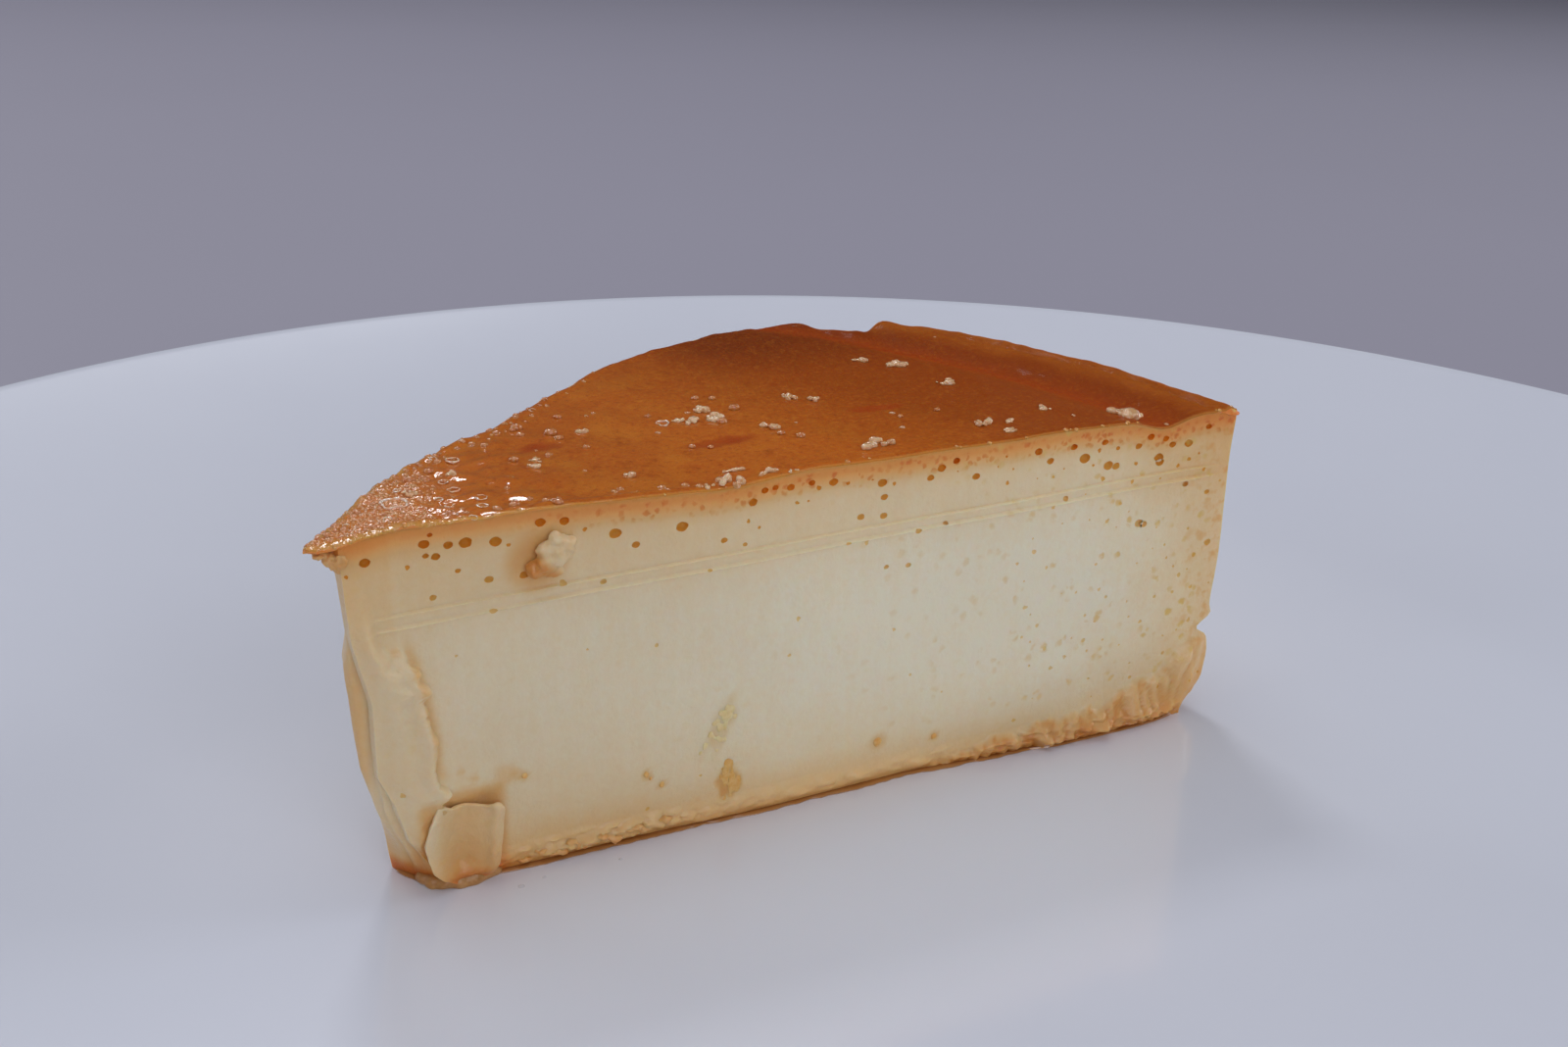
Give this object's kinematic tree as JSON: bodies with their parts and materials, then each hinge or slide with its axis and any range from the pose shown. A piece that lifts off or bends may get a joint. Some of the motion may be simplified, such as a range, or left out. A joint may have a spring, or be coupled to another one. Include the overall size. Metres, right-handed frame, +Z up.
{
  "type": "leche flan",
  "caption": "Wedge of baked caramel custard with a glossy caramel top, clean cut sides and a peeled curl at its tip, served on a round white coupe plate.",
  "frame": {"origin": "middle of the plate's foot, on the surface that the plate stands on", "axes": "+Z up; +X along the wedge's front cut, from its tip to its outer wall; the front cut faces -Y"},
  "size_m": [0.281, 0.281, 0.0406],
  "materials": {
    "porcelain": "glazed, smooth",
    "custard": "moist, soft sheen",
    "caramel": "wet, glossy, slightly blistered",
    "custard_skin": "moist, soft sheen"
  },
  "bodies": {
    "root": {"plate": "porcelain", "custard": "custard", "caramel_layer": "caramel", "custard_curl": "custard_skin"}
  },
  "joints": []
}
